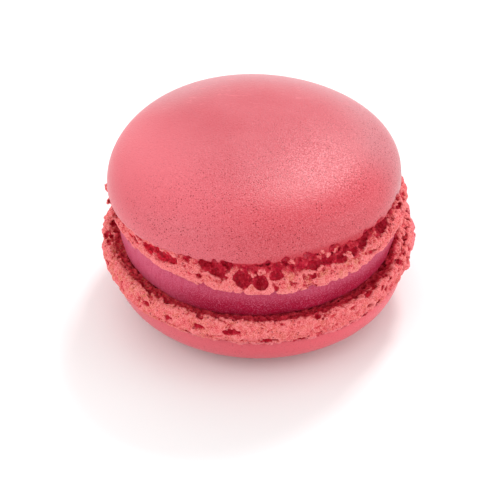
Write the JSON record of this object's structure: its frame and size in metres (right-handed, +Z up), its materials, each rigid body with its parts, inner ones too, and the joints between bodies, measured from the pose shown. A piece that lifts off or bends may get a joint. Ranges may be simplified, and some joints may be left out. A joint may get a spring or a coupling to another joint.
{
  "type": "macaron",
  "caption": "Round pink macaron: smooth domed shells with craggy feet, pressed round a smooth band of magenta filling.",
  "frame": {"origin": "under the middle of the whole macaron, on the surface that it rests on", "axes": "+Z up through the two shells; -Y is the front, where the upper shell leans forward a little"},
  "size_m": [0.0456, 0.0452, 0.028],
  "materials": {
    "shell": "baked pink shell, satin-matt and finely pored on its dome, open salmon and crimson crumb on its foot",
    "filling": "smooth magenta filling with a soft sheen"
  },
  "bodies": {
    "root": {"upper_shell": "shell", "filling": "filling", "lower_shell": "shell"}
  },
  "joints": []
}
